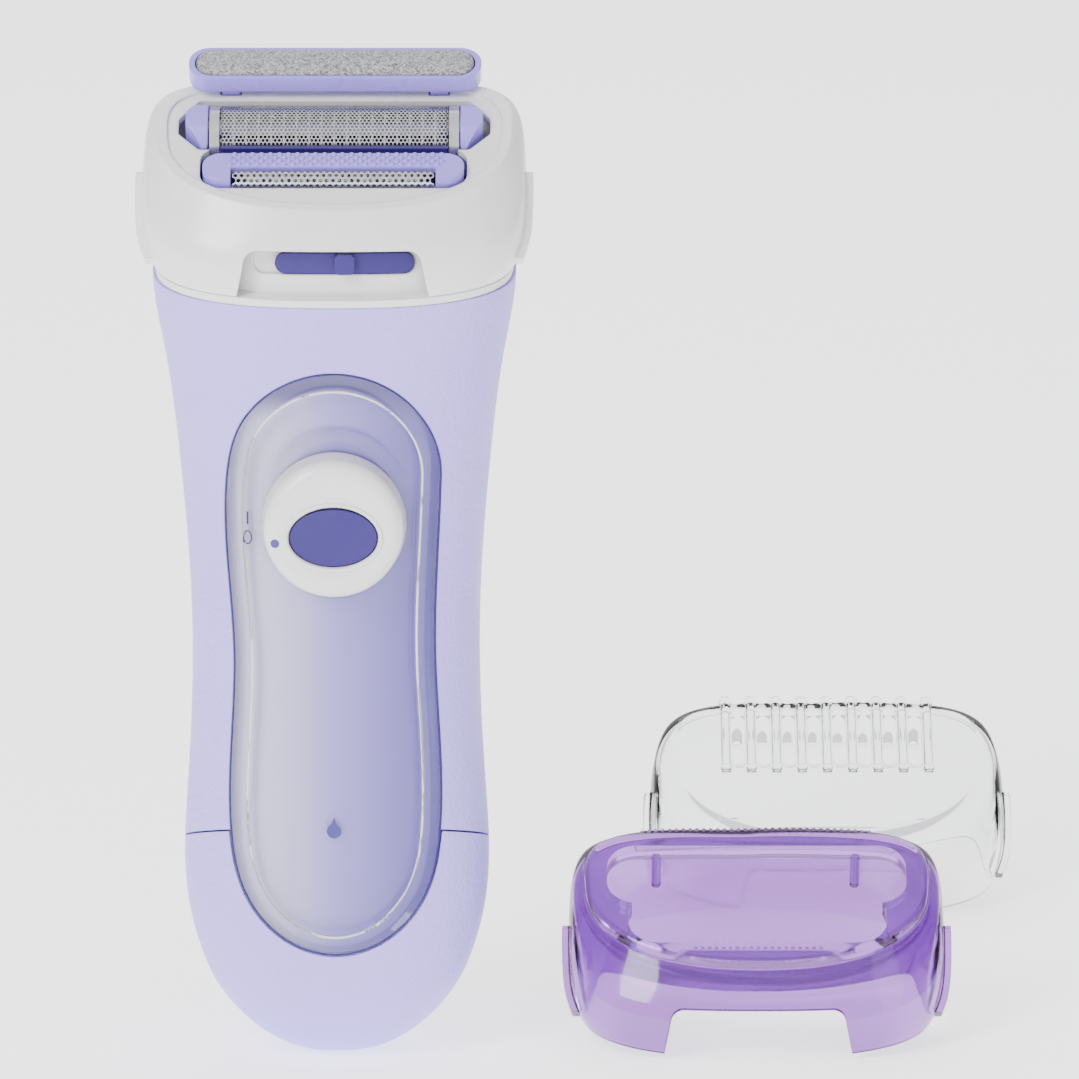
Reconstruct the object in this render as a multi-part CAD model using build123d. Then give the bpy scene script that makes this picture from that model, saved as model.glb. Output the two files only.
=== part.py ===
from build123d import *
from math import cos, sin, pi, radians, sqrt, copysign
import os

# A battery foil shaver of the ladies' type with an exfoliation cap on its head, and two spare caps
# beside it.  All lengths are millimetres.  +Z runs up the handle, -Y is the front, and the origin is
# the lowest point of the handle on its axis.

# ---------------------------------------------------------------- driving sizes
# handle: height, half width, front depth, back depth
STATIONS = [
    (0.3, 4.5, 3.2, 3.2), (1.0, 7.4, 5.2, 5.3), (2.4, 10.4, 7.2, 7.4), (4.4, 13.4, 9.0, 9.4),
    (7.7, 16.9, 11.0, 11.5), (12.0, 20.1, 12.6, 13.2), (18.0, 22.7, 13.6, 14.5),
    (26.0, 24.6, 14.2, 15.3), (35.0, 25.1, 14.5, 15.7), (46.0, 24.5, 14.6, 15.6),
    (62.0, 23.7, 14.6, 15.0), (76.0, 23.7, 14.5, 14.6), (90.0, 24.5, 14.7, 14.6),
    (104.0, 25.8, 15.4, 15.0), (118.0, 27.7, 16.6, 15.8), (136.0, 29.2, 18.2, 16.6),
]
WALL = 2.4                 # handle shell
SPLIT_GAP = 0.1            # between the front and rear halves of the handle
OVAL_POWER = 2.5           # squareness of the handle's cross-section
SQUARE_BACK = 3.0          # squareness of the collar's and caps' rear half
MIN_CORE = 2.5             # a section shallower than this is left out of an inset form
FAR = 200.0                # reaches past everything
CAP_SEAM_Z = 36.0          # battery cap seam where it crosses the handle's sides
CAP_SEAM_TILT = -18.0      # the seam rises towards the front
SEAM_GAP = 0.3
NECK_Z = 131.4             # top of the handle shells at the sides
NECK_TILT = 11.5           # the neck dips towards the front
SCREW_SPOTS = [(-18.6, 75.0), (18.6, 75.0), (-20.5, 121.0), (20.5, 121.0)]
BOSS_R = 2.9
SCREW_R = 1.1
SCREW_HEAD_R = 2.1
SCREW_HEAD_Y = 7.0          # underside of the screw heads, deep in their wells
SCREW_HEAD_HEIGHT = 1.2
FREE = 0.2                 # usual free play between neighbours

WINDOW_TOP_Z = 116.8
WINDOW_LOW_Z = 19.2
WINDOW_TOP_R = 17.4
WINDOW_WAIST = 16.4
WINDOW_FOOT = 17.1
WINDOW_FOOT_RISE = 20.5    # height of the rounded foot
WINDOW_BAND = 3.0          # width of the sloping band inside the window's edge
WINDOW_SINK = 1.2          # depth of the panel's face below the handle's surface
PANEL_DEPTH = 2.8
BACKING_FRONT = 2.9
BACKING_REAR = 4.0
BACKING_LAP = 1.6          # the backing reaches this far past the window's edge

KNOB_Z = 91.5
KNOB_R = 11.8
KNOB_TRAVEL = 3.3
KNOB_FLOOR_Y = -12.9       # floor of the dish that the knob slides in
KNOB_FRONT_Y = -19.4
KNOB_DRAFT = 6             # degrees
KNOB_EDGE_R = 2.4
KNOB_DISH_R = 34.0         # radius of the hollow in the knob's face, and its depth
KNOB_DISH = 0.9
KNOB_STEM_R = 3.0
STEM_SLOT_W = 6.4
LOCK_Z = 90.3
LOCK_HALF_W = 7.1
LOCK_HALF_H = 4.7
LOCK_BACK_Y = -16.9
LOCK_WELL_Y = -15.6

CELL_R = 7.2
CELL_LENGTH = 49.3
CELL_X = 7.4
CELL_Y = 0.6
CELL_Z = 13.0
CELL_TIP_R = 2.7
CONTACT = 0.4              # thickness of the contact plates
CONTACT_Z = 9.6

MOTOR_Z = 84.0
MOTOR_LENGTH = 25.0
MOTOR_HALF_W = 10.0
MOTOR_HALF_D = 6.6
MOTOR_Y = 1.8
SHAFT_R = 1.0
CRANK_R = 3.8
CRANK_THROW = 1.0
CRANK_PIN_R = 0.9
SWING = 1.0                # cutter stroke each way
PIN_R = 1.4                # drive pin from the swing bridge up to the cutter's yoke
PIN_TOP_Z = 143.2

HEAD_TILT = 30.0           # the shaving face leans this far towards the front
HEAD_Y = -2.5
HEAD_Z = 151.0
FOIL_V = 7.2               # foil centre, measured up the shaving face
FOIL_N = -4.0              # foil centre, measured square to the shaving face
FOIL_R = 5.8
FOIL_SHEET = 0.25
FOIL_HALF_X = 18.6
FOIL_LEG = 1.9
BAND_X = 19.5              # plain steel bands past the foil's ends
BAND_WIDTH = 1.6
BLADES = 17
BLADE_PITCH = 2.05
TRIM_V = -5.0
TRIM_HALF_V = 3.3
TRIM_HALF_X = 21.2
TRIM_TOP = 1.0
COMB_V = TRIM_V - 1.8
COMB_HALF_X = 16.4
COMB_TEETH = 23
COMB_PITCH = 1.36
KNIFE_TEETH = 20
KNIFE_PITCH = 1.42

COLLAR_W = 27.35           # collar wall: half width, front depth, back depth
COLLAR_F = 15.5
COLLAR_B = 14.75
COLLAR_WALL = 1.8
COLLAR_HEIGHT = 11.4
COLLAR_FOOT_Z = NECK_Z + 0.15
FLANGE = (29.2, 18.3, 16.6)
FLANGE_HEIGHT = 1.3
SKIRT_INSET = 1.5
SKIRT_CORE = 3.0

SLIDER_Z = 134.9
SLIDER_LENGTH = 22.6
SLIDER_HEIGHT = 3.4
SLIDER_X = 1.95            # it rests at the right-hand end of its slot
SLIDER_TRAVEL = 3.3
SLOT_FLOOR_Y = -13.9

# caps: height at the sides, tilt, half width, front depth, back depth
CAP_SECTIONS = [
    (132.98, 11.5, 29.3, 18.6, 16.7),
    (136.5, 14.0, 30.8, 19.3, 17.1),
    (142.5, 20.0, 31.3, 19.6, 17.3),
]
CAP_WALL = 1.6
FACE_V = 5.0               # middle of the face outline, up the shaving face
FACE = (28.9, 20.0, 13.3)  # face outline: half width, front depth, back depth
SHOULDER = (30.6, 23.5, 14.2)
SHOULDER_N = -2.4
COMB_FACE_W = 26.6         # the trimming cap's face is narrower
COMB_SHOULDER_W = 29.6
FACE_SINK = 0.45
CUTOUT_TOP_Z = 137.2
CUTOUT_TOP_X = 14.0
CUTOUT_LOW_X = 16.2
OPENING_TOP_V = 13.4

PAD_V = 17.85
HOLDER_HALF_X = 23.9
HOLDER_HALF_V = 3.95
PAD_LEG_X = 17.0
PAD_LEG_V = 15.6

SPARE_GLIDE = (69.5, 8.0)              # where each spare cap stands beside the shaver
SPARE_COMB = (84.0, 104.0)
RING_RISE = 1.5            # the gliding cap's ring stands this proud of its face
COMB_SLOTS = 8
COMB_SLOT_PITCH = 4.45

head = Plane(origin=(0, HEAD_Y, HEAD_Z), x_dir=(1, 0, 0),
             z_dir=(0, -sin(radians(HEAD_TILT)), cos(radians(HEAD_TILT))))


# ---------------------------------------------------------------- helpers
def oval(half_w, front, back, power_front=OVAL_POWER, power_back=OVAL_POWER, count=28):
    """Closed smooth outline, deeper or squarer at the front or the back as asked."""
    points = []
    for i in range(count):
        angle = pi / 2 + 2 * pi * i / count
        c, s = cos(angle), sin(angle)
        power = power_back if s >= 0 else power_front
        depth = back if s >= 0 else front
        x = half_w * copysign(abs(c) ** (2 / power), c)
        y = depth * copysign(abs(s) ** (2 / power), s)
        points.append((x, y))
    return make_face(Spline(*points, periodic=True))


def face_oval(half_w, front, back):
    """Outline of the shaving face: round in front, squarer behind."""
    return oval(half_w, front, back, 2.3, 4.0)


def tilted(z, tilt):
    """Plane across the handle at height z, dipping towards the front by tilt degrees."""
    return Plane(origin=(0, 0, z), x_dir=(1, 0, 0),
                 z_dir=(0, -sin(radians(tilt)), cos(radians(tilt))))


def handle_solid(inset):
    """The handle's outer form, moved inwards by inset all round."""
    faces = []
    for i, (z, w, f, b) in enumerate(STATIONS):
        low = STATIONS[max(i - 1, 0)]
        high = STATIONS[min(i + 1, len(STATIONS) - 1)]
        slope = (high[1] - low[1]) / (high[0] - low[0])
        step = inset * sqrt(1 + slope * slope)
        if min(f, b) - step < MIN_CORE:
            continue
        faces.append(Plane.XY.offset(z) * oval(w - step, f - step, b - step))
    return loft(faces)


def above(plane):
    """Everything on the upper side of a plane."""
    return plane * Pos(0, 0, FAR) * Box(2 * FAR, 2 * FAR, 2 * FAR)


def below(plane):
    return plane * Pos(0, 0, -FAR) * Box(2 * FAR, 2 * FAR, 2 * FAR)


def block(x0, x1, y0, y1, z0, z1):
    """Box between two corners."""
    return Pos((x0 + x1) / 2, (y0 + y1) / 2, (z0 + z1) / 2) * Box(x1 - x0, y1 - y0, z1 - z0)


def rod(x, y, z0, z1, radius):
    return Pos(x, y, (z0 + z1) / 2) * Cylinder(radius, z1 - z0)


def cross_rod(x, y, z, length, radius):
    """Round bar lying front to back, centred on y."""
    return Pos(x, y, z) * Rot(90, 0, 0) * Cylinder(radius, length)


def local_block(x0, x1, v0, v1, n0, n1):
    return head * block(x0, x1, v0, v1, n0, n1)


def slab(half_x, half_v, n0, n1, corner, v=0.0):
    """Plate with rounded corners lying in the shaving face's frame."""
    outline = RectangleRounded(2 * half_x, 2 * half_v, corner)
    return head * Pos(0, v, n0) * extrude(outline, n1 - n0)


def plate(x, y, z, width, depth, height, corner):
    """Flat plate with rounded corners."""
    return Pos(x, y, z) * extrude(RectangleRounded(width, depth, corner), height)


def window_outline(margin=0.0):
    """Long rounded window outline in the XZ plane, grown by margin."""
    top_r = WINDOW_TOP_R + margin
    arch_z = WINDOW_TOP_Z - WINDOW_TOP_R
    foot_z = WINDOW_LOW_Z + WINDOW_FOOT_RISE
    foot_h = WINDOW_FOOT_RISE + margin
    foot_w = WINDOW_FOOT + margin
    waist = WINDOW_WAIST + margin
    waist_z = (arch_z + foot_z) / 2
    steps = 6
    points = []
    for i in range(steps + 1):
        angle = pi * i / steps
        points.append((top_r * cos(angle), arch_z + top_r * sin(angle)))
    points.append((-waist, waist_z))
    for i in range(steps + 1):
        angle = pi + pi * i / steps
        points.append((foot_w * cos(angle), foot_z + foot_h * sin(angle)))
    points.append((waist, waist_z))
    return make_face(Spline(*points, periodic=True))


def front_prism(sketch, y0, y1, taper=0.0):
    """Push an XZ outline from depth y0 towards the front as far as y1."""
    face = Plane(origin=(0, y0, 0), x_dir=(1, 0, 0), z_dir=(0, -1, 0)) * sketch
    return extrude(face, y0 - y1, dir=(0, -1, 0), taper=taper)


def coil(x, y, z0, z1, radius, wire, turns):
    """Compression spring standing along Z."""
    height = z1 - z0 - 2 * wire
    path = Helix(pitch=height / turns, height=height, radius=radius)
    ring = Plane(origin=path @ 0, z_dir=path % 0) * Circle(wire / 2)
    return Pos(x, y, z0 + wire) * sweep(ring, path=path, is_frenet=True)


parts = {}

# ---------------------------------------------------------------- handle
outer = handle_solid(0)
hull = outer - handle_solid(WALL)
seam = tilted(CAP_SEAM_Z, CAP_SEAM_TILT)
neck = tilted(NECK_Z, NECK_TILT)
body = hull & above(seam.offset(SEAM_GAP / 2)) & below(neck)

window_back_y = -6.0
window_hole = front_prism(window_outline(0.15), window_back_y, -FAR)
front_half = block(-FAR, FAR, -FAR, -SPLIT_GAP / 2, -FAR, FAR)
rear_half = block(-FAR, FAR, SPLIT_GAP / 2, FAR, -FAR, FAR)
parts["front_shell"] = (body & front_half) - window_hole

rear_shell = body & rear_half
boss_room = handle_solid(WALL / 2) & rear_half
for x, z in SCREW_SPOTS:
    rear_shell += cross_rod(x, 8, z, 20, BOSS_R) & boss_room
for x, z in SCREW_SPOTS:
    rear_shell -= cross_rod(x, 6, z, 40, SCREW_R + FREE)
    rear_shell -= cross_rod(x, SCREW_HEAD_Y + 10, z, 20, SCREW_HEAD_R + FREE)
parts["rear_shell"] = rear_shell

screws = []
for x, z in SCREW_SPOTS:
    shank = cross_rod(x, SCREW_HEAD_Y / 2 + 0.15, z, SCREW_HEAD_Y, SCREW_R)
    screw_head = cross_rod(x, SCREW_HEAD_Y + SCREW_HEAD_HEIGHT / 2, z, SCREW_HEAD_HEIGHT, SCREW_HEAD_R)
    driver_slot = Pos(x, SCREW_HEAD_Y + SCREW_HEAD_HEIGHT, z) * Box(3.0, 1.0, 0.6)
    screws.append(shank + (screw_head - driver_slot))
parts["housing_screws"] = Compound(children=[Compound(s.wrapped) for s in screws])

# ---------------------------------------------------------------- window and its backing
inner_face = front_prism(window_outline(-WINDOW_BAND), window_back_y, -FAR) & outer
panel = (outer & front_prism(window_outline(), window_back_y, -FAR)) - handle_solid(PANEL_DEPTH)
panel -= inner_face - handle_solid(WINDOW_SINK)
knob_middle = Pos(0, KNOB_Z + KNOB_TRAVEL / 2)
dish = knob_middle * SlotCenterToCenter(KNOB_TRAVEL, 2 * (KNOB_R + 0.7), rotation=90)
stem_slot = knob_middle * SlotCenterToCenter(KNOB_TRAVEL, STEM_SLOT_W, rotation=90)
stem_cut = front_prism(stem_slot, window_back_y, -FAR)
panel = panel - front_prism(dish, KNOB_FLOOR_Y, -FAR) - stem_cut
parts["window_panel"] = panel

backing_form = handle_solid(BACKING_FRONT) - handle_solid(BACKING_REAR)
backing = backing_form & front_prism(window_outline(BACKING_LAP), window_back_y, -FAR)
parts["window_backing"] = backing - stem_cut

# ---------------------------------------------------------------- battery cap
notch = front_prism(window_outline(0.35), window_back_y, -FAR)
notch += block(-WINDOW_FOOT - 0.35, WINDOW_FOOT + 0.35, -FAR, window_back_y, 39, 60)
parts["battery_cap"] = (hull & below(seam.offset(-SEAM_GAP / 2))) - notch

# ---------------------------------------------------------------- cells and contacts
top_z = CELL_Z + CELL_LENGTH
cell_right = rod(CELL_X, CELL_Y, CELL_Z, top_z, CELL_R)
cell_left = rod(-CELL_X, CELL_Y, CELL_Z, top_z, CELL_R)
parts["cell_right"] = cell_right + rod(CELL_X, CELL_Y, top_z, top_z + 1, CELL_TIP_R)
parts["cell_left"] = cell_left + rod(-CELL_X, CELL_Y, CELL_Z - 1, CELL_Z, CELL_TIP_R)

parts["contact_carrier"] = plate(0, CELL_Y, CONTACT_Z - 2.4, 20, 8, 2.3, 3)
parts["cap_contact_plate"] = plate(0, CELL_Y, CONTACT_Z, 26, 10, CONTACT, 4)
spring_low_z = CONTACT_Z + CONTACT + 0.1
parts["cap_contact_spring"] = coil(CELL_X, CELL_Y, spring_low_z, CELL_Z - 0.05, 3.0, 0.5, 3)
parts["cap_contact_stud"] = rod(-CELL_X, CELL_Y, CONTACT_Z + CONTACT + 0.05, CELL_Z - 1.1, 2.4)
parts["top_contact_right"] = plate(CELL_X, CELL_Y, top_z + 1.05, 9, 8, CONTACT, 1)
parts["top_contact_left"] = plate(-CELL_X, CELL_Y, top_z + 2.4, 9, 8, CONTACT, 1)
parts["top_contact_spring"] = coil(-CELL_X, CELL_Y, top_z + 0.05, top_z + 2.35, 2.8, 0.45, 2.5)

# ---------------------------------------------------------------- chassis, board, motor
deck_z = top_z + 3.1
chassis = block(-25, 25, -8.0, 20, deck_z, deck_z + 2.0)
for side in (-1, 1):
    chassis += block(side * 13 - 1, side * 13 + 1, -6.5, 10, deck_z + 1, 112)
chassis += block(-12.5, 12.5, -6.5, 10, MOTOR_Z - 4.4, MOTOR_Z - 2.4)
parts["chassis"] = chassis & handle_solid(BACKING_REAR + 0.4)

board_front_y = -8.2
board_back_y = -7.0
parts["circuit_board"] = front_prism(Pos(0, 92) * RectangleRounded(24, 42, 2), board_back_y, board_front_y)
parts["board_capacitor"] = cross_rod(5.5, board_back_y + 1.8, 76.5, 3.0, 2.4)
chip_back_y = board_back_y + 0.05
big_chip = block(-8, -3, chip_back_y, chip_back_y + 1.05, 74.5, 78.5)
small_chip = block(-1.5, 1.5, chip_back_y, chip_back_y + 0.85, 74.5, 77)
parts["board_chips"] = big_chip + small_chip

motor_top_z = MOTOR_Z + MOTOR_LENGTH
motor = plate(0, MOTOR_Y, MOTOR_Z, 2 * MOTOR_HALF_W, 2 * MOTOR_HALF_D, MOTOR_LENGTH, 5.5)
motor += rod(0, MOTOR_Y, motor_top_z, motor_top_z + 1.6, 3.0)
parts["motor_can"] = motor - rod(0, MOTOR_Y, MOTOR_Z + 4, motor_top_z + 3, SHAFT_R + 0.05)
parts["motor_end_cap"] = plate(0, MOTOR_Y, MOTOR_Z - 2.2, 18, 11, 2.1, 4.5)
crank_z = motor_top_z + 2.4
parts["motor_shaft"] = rod(0, MOTOR_Y, MOTOR_Z + 4.3, crank_z + 3.0, SHAFT_R)
crank = rod(0, MOTOR_Y, crank_z, crank_z + 3.6, CRANK_R) - rod(0, MOTOR_Y, crank_z - 1, crank_z + 3, SHAFT_R)
crank += rod(0, MOTOR_Y + CRANK_THROW, crank_z + 3.5, crank_z + 6.2, CRANK_PIN_R)
parts["drive_crank"] = crank

# the pin's hole is as wide as its circle plus the bridge's stroke, so that neither can bind
bridge_z = crank_z + 4.4
bridge = plate(0, MOTOR_Y, bridge_z, 26, 9, 2.8, 1.5)
bridge -= rod(0, MOTOR_Y, bridge_z - 1, bridge_z + 2.1, CRANK_THROW + SWING + CRANK_PIN_R + FREE)
parts["swing_bridge"] = bridge
parts["drive_pin"] = rod(0, MOTOR_Y, bridge_z + 2.85, PIN_TOP_Z, PIN_R)

frame_z = bridge_z + 3.6
bridge_frame = handle_solid(WALL + 0.4) & block(-17.2, 17.2, -11, 9.5, frame_z, frame_z + 1.8)
pin_slot = SlotCenterToCenter(2 * SWING + 0.6, 6.4)
parts["bridge_frame"] = bridge_frame - Pos(0, MOTOR_Y, frame_z - 1) * extrude(pin_slot, 4)
for side, name in ((-1, "flexure_left"), (1, "flexure_right")):
    x = side * 16.4
    parts[name] = block(x - 0.4, x + 0.4, -0.8, 4.4, bridge_z + 0.2, frame_z - 0.1)


# ---------------------------------------------------------------- collar
def collar_form(inset, low, high):
    """Upright oval column, cut parallel to the neck at its foot and top."""
    outline = oval(COLLAR_W - inset, COLLAR_F - inset, COLLAR_B - inset, OVAL_POWER, SQUARE_BACK)
    face = tilted(COLLAR_FOOT_Z + low, NECK_TILT) * outline
    return extrude(face, high - low, dir=(0, 0, 1))


collar_base = tilted(COLLAR_FOOT_Z, NECK_TILT)
collar = collar_base * extrude(oval(*FLANGE, OVAL_POWER, 2.8), FLANGE_HEIGHT)
collar += collar_form(0, 0, COLLAR_HEIGHT)
collar -= collar_form(COLLAR_WALL, -1, 20)
collar += collar_form(COLLAR_WALL - 0.6, 4.6, 6.2)
skirt = collar_form(SKIRT_INSET, -4.0, -0.05) & handle_solid(WALL + 0.25)
collar += skirt - collar_form(SKIRT_CORE, -5, 5)
collar += collar_form(SKIRT_INSET, -0.1, 4.7) - collar_form(SKIRT_CORE, -5, 5)
collar -= rod(0, MOTOR_Y, 120, 160, 4.6)
slot_length = SLIDER_LENGTH + SLIDER_TRAVEL + 0.4
slot_shape = Pos(SLIDER_X - SLIDER_TRAVEL / 2, SLIDER_Z) * SlotOverall(slot_length, SLIDER_HEIGHT + 0.4)
parts["head_collar"] = collar - front_prism(slot_shape, SLOT_FLOOR_Y, -FAR)

bar_shape = Pos(SLIDER_X, SLIDER_Z) * SlotOverall(SLIDER_LENGTH, SLIDER_HEIGHT)
bar = front_prism(bar_shape, SLOT_FLOOR_Y - 0.15, -30) & collar_form(-0.6, -1, 16)
thumb_nub = Pos(SLIDER_X, SLIDER_Z) * RectangleRounded(3.2, SLIDER_HEIGHT - 0.1, 0.8)
parts["trimmer_selector"] = bar + front_prism(thumb_nub, SLOT_FLOOR_Y - 0.4, -COLLAR_F - 1.6)

seal_z = NECK_Z + 5.7
seal_ring = rod(0, MOTOR_Y, seal_z, seal_z + 1.3, 4.5)
parts["drive_seal"] = seal_ring - rod(0, MOTOR_Y, 120, 160, PIN_R + SWING + 0.05)

# ---------------------------------------------------------------- shaving head
tray = slab(23.4, 10.2, -10.6, -8.8, 6.0, v=0.4) - slab(22.4, 9.2, -9.7, 0, 5.0, v=0.4)
for side in (-1, 1):
    tray += local_block(side * 16 - 3.5, side * 16 + 3.5, 0.3, 1.0, -9.8, -7.0)
tray += local_block(-18.4, 18.4, 0.3, 1.0, -7.8, 0.3)
tray -= local_block(-5.2, 5.2, -4.6, 3.6, -12, -8.6)
stem_room = above(collar_base.offset(6.3))
for x in (-18.5, 18.5):
    tray += head * rod(x, 0.9, -24, -10.5, 2.2) & stem_room
parts["hair_tray"] = tray


def foil_wedge(side):
    """Pointed end block that grips one end of the foil."""
    inner_x, lip_x, point_x = side * 20.55, side * 21.6, side * 24.2
    with BuildSketch() as shape:
        with BuildLine():
            Polyline((inner_x, 1.9), (lip_x, 1.9), (point_x, 5.4), (point_x, 8.2), (lip_x, 11.9),
                     (inner_x, 11.9), close=True)
        make_face()
        fillet(shape.vertices(), 0.5)
    wedge = head * Pos(0, 0, -7.0) * extrude(shape.sketch, 8.5)
    top = head * Pos(0, FOIL_V, FOIL_N) * Rot(0, 90, 0) * Cylinder(FOIL_R + 0.25, 60)
    return wedge & (top + local_block(-30, 30, -20, 30, -8, FOIL_N))


foil_frame = slab(23.0, 5.3, -7.1, -6.0, 3.0, v=FOIL_V - 0.3) - slab(20.0, 4.4, -8, 0, 1.0, v=FOIL_V)
parts["foil_frame"] = foil_frame + foil_wedge(-1) + foil_wedge(1)


def tube_along_x(radius, thickness, length):
    """Upper half of a tube lying along X."""
    tube = Rot(0, 90, 0) * (Cylinder(radius, length) - Cylinder(radius - thickness, 2 * length))
    return tube & block(-FAR, FAR, -FAR, FAR, 0, FAR)


foil_legs = block(-FOIL_HALF_X, FOIL_HALF_X, -FOIL_R, FOIL_R, -FOIL_LEG, 0)
leg_gap = FOIL_R - FOIL_SHEET
foil_legs -= block(-FAR, FAR, -leg_gap, leg_gap, -FAR, 1)
foil_place = head * Pos(0, FOIL_V, FOIL_N)
parts["foil"] = foil_place * (tube_along_x(FOIL_R, FOIL_SHEET, 2 * FOIL_HALF_X) + foil_legs)
for side, name in ((-1, "foil_band_left"), (1, "foil_band_right")):
    parts[name] = foil_place * Pos(side * BAND_X, 0, 0) * tube_along_x(FOIL_R, 0.45, BAND_WIDTH)

blade = Rot(0, 90, 0) * Cylinder(FOIL_R - 0.55, 0.3) & block(-1, 1, -20, 20, -0.6, 20)
blade -= Rot(0, 90, 0) * Cylinder(3.4, 2) & block(-1, 1, -20, 20, -1, 0.6)
cutter = slab(17.0, 1.3, -4.65, -1.4, 0.4, v=FOIL_V)
for i in range(BLADES):
    cutter += foil_place * Pos((i - (BLADES - 1) / 2) * BLADE_PITCH, 0, 0) * blade
parts["cutter_blades"] = cutter
carrier = slab(17.4, 2.2, -5.5, -4.7, 0.8, v=FOIL_V)
parts["cutter_carrier"] = carrier + slab(16.8, 3.2, -6.6, -5.4, 1.0, v=FOIL_V)
parts["cutter_spring"] = head * coil(0, FOIL_V, -8.35, -6.65, 1.7, 0.35, 2)

yoke = slab(11.0, 5.6, -9.3, -8.4, 1.5, v=3.0) - rod(0, MOTOR_Y, 130, 160, PIN_R + 0.06)
parts["cutter_yoke"] = yoke - head * Pos(0, FOIL_V, -10) * Cylinder(1.0, 6)

housing = slab(TRIM_HALF_X, TRIM_HALF_V, -6.6, TRIM_TOP, 3.1, v=TRIM_V)
housing -= slab(17.6, TRIM_HALF_V - 0.9, -8, -0.4, 1.2, v=TRIM_V)
comb_seat = slab(COMB_HALF_X + 0.2, 1.9, -1.0, 2.0, 0.4, v=COMB_V - 0.3)
parts["trimmer_housing"] = housing - comb_seat

comb = slab(COMB_HALF_X, 1.35, -0.6, 0.75, 0.8, v=COMB_V)
comb -= slab(COMB_HALF_X - 0.8, 0.9, -2, 0.45, 0.5, v=COMB_V)
for i in range(COMB_TEETH):
    x = (i - (COMB_TEETH - 1) / 2) * COMB_PITCH
    comb -= local_block(x - 0.36, x + 0.36, COMB_V - 1.0, COMB_V + 1.0, -2, 2)
parts["trimmer_comb"] = comb
knife = slab(14.4, 0.75, -0.75, 0.3, 0.3, v=COMB_V)
for i in range(KNIFE_TEETH):
    x = (i - (KNIFE_TEETH - 1) / 2) * KNIFE_PITCH
    knife -= local_block(x - 0.3, x + 0.3, COMB_V - 2, COMB_V + 2, -0.1, 2)
parts["trimmer_blade"] = knife + local_block(-3, 3, COMB_V - 0.4, COMB_V + 0.4, -7.9, -0.7)


# ---------------------------------------------------------------- caps
def cap_form(inset, face_w, shoulder_w, top=0.0, low=0.0):
    """Outer form of a cap moved inwards by inset; low stretches it below its rim."""
    faces = []
    for i, (z, tilt, w, f, b) in enumerate(CAP_SECTIONS):
        plane = tilted(z, tilt)
        if i == 0:
            plane = plane.offset(-low)
        faces.append(plane * oval(w - inset, f - inset, b - inset, OVAL_POWER, SQUARE_BACK))
    for n, w, front, back in ((SHOULDER_N, shoulder_w, *SHOULDER[1:]), (top, face_w, *FACE[1:])):
        faces.append(head.offset(n) * Pos(0, FACE_V) * face_oval(w - inset, front - inset, back - inset))
    return loft(faces)


def cap_shell(face_w=FACE[0], shoulder_w=SHOULDER[0]):
    """Bare cap: thin shell with a leg on each side of the front cutout and two side grips."""
    grip_slab = Pos(0, -2.5, 140.0) * Rot(-32, 0, 0) * Box(100, 2.6, 15)
    grips = (cap_form(-1.15, face_w, shoulder_w) & grip_slab) - block(-27, 27, -60, 60, 0, 200)
    solid = cap_form(0, face_w, shoulder_w) + grips
    solid -= cap_form(CAP_WALL, face_w, shoulder_w, top=-1.7, low=4.0)
    with BuildSketch() as cutout:
        with BuildLine():
            Polyline((-CUTOUT_TOP_X, CUTOUT_TOP_Z), (CUTOUT_TOP_X, CUTOUT_TOP_Z), (CUTOUT_LOW_X, 126.0),
                     (CUTOUT_LOW_X, 110.0), (-CUTOUT_LOW_X, 110.0), (-CUTOUT_LOW_X, 126.0), close=True)
        make_face()
        fillet(cutout.vertices().sort_by(Axis.Y)[-2:], 2.2)
    return solid - front_prism(cutout.sketch, -9.0, -FAR)


def face_opening():
    """Opening for the foil, with pointed ends, joined to the one for the trimmer."""
    with BuildSketch() as shape:
        with BuildLine():
            Polyline((-22.0, 0.9), (-25.4, 4.9), (-25.4, 8.7), (-22.0, OPENING_TOP_V),
                     (22.0, OPENING_TOP_V), (25.4, 8.7), (25.4, 4.9), (22.0, 0.9), close=True)
        make_face()
        fillet(shape.vertices(), 1.0)
    upper = head * Pos(0, 0, -8) * extrude(shape.sketch, 20)
    low_v = TRIM_V - TRIM_HALF_V - 0.5
    high_v = 1.5
    lower = slab(TRIM_HALF_X + 0.45, (high_v - low_v) / 2, -8, 12, 3.5, v=(high_v + low_v) / 2)
    return upper + lower


def stand(cap, spot):
    """Set a spare cap down on the floor at (x, y)."""
    return Pos(*spot, -cap.bounding_box().min.Z) * cap


cap_blank = cap_shell()
white_cap = cap_blank - face_opening()
sink_w, sink_f, sink_b = (size - CAP_WALL - 0.1 for size in FACE)
white_cap -= head * Pos(0, FACE_V, -FACE_SINK) * extrude(face_oval(sink_w, sink_f, sink_b), 3)
for side in (-1, 1):
    white_cap -= Pos(side * PAD_LEG_X, 0, 0) * slab(1.7, 0.8, -4, 4, 0.3, v=PAD_LEG_V)
parts["exfoliation_cap"] = white_cap

holder = slab(HOLDER_HALF_X, HOLDER_HALF_V, 1.0, 3.9, 3.6, v=PAD_V)
holder -= slab(HOLDER_HALF_X - 1.0, HOLDER_HALF_V - 0.75, 2.0, 6, 3.0, v=PAD_V)
for side in (-1, 1):
    holder += Pos(side * PAD_LEG_X, 0, 0) * slab(1.5, 0.6, -2.6, 1.1, 0.2, v=PAD_LEG_V)
parts["pad_holder"] = holder
parts["exfoliation_pad"] = slab(HOLDER_HALF_X - 1.15, HOLDER_HALF_V - 0.9, 2.05, 4.35, 2.9, v=PAD_V)

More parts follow.
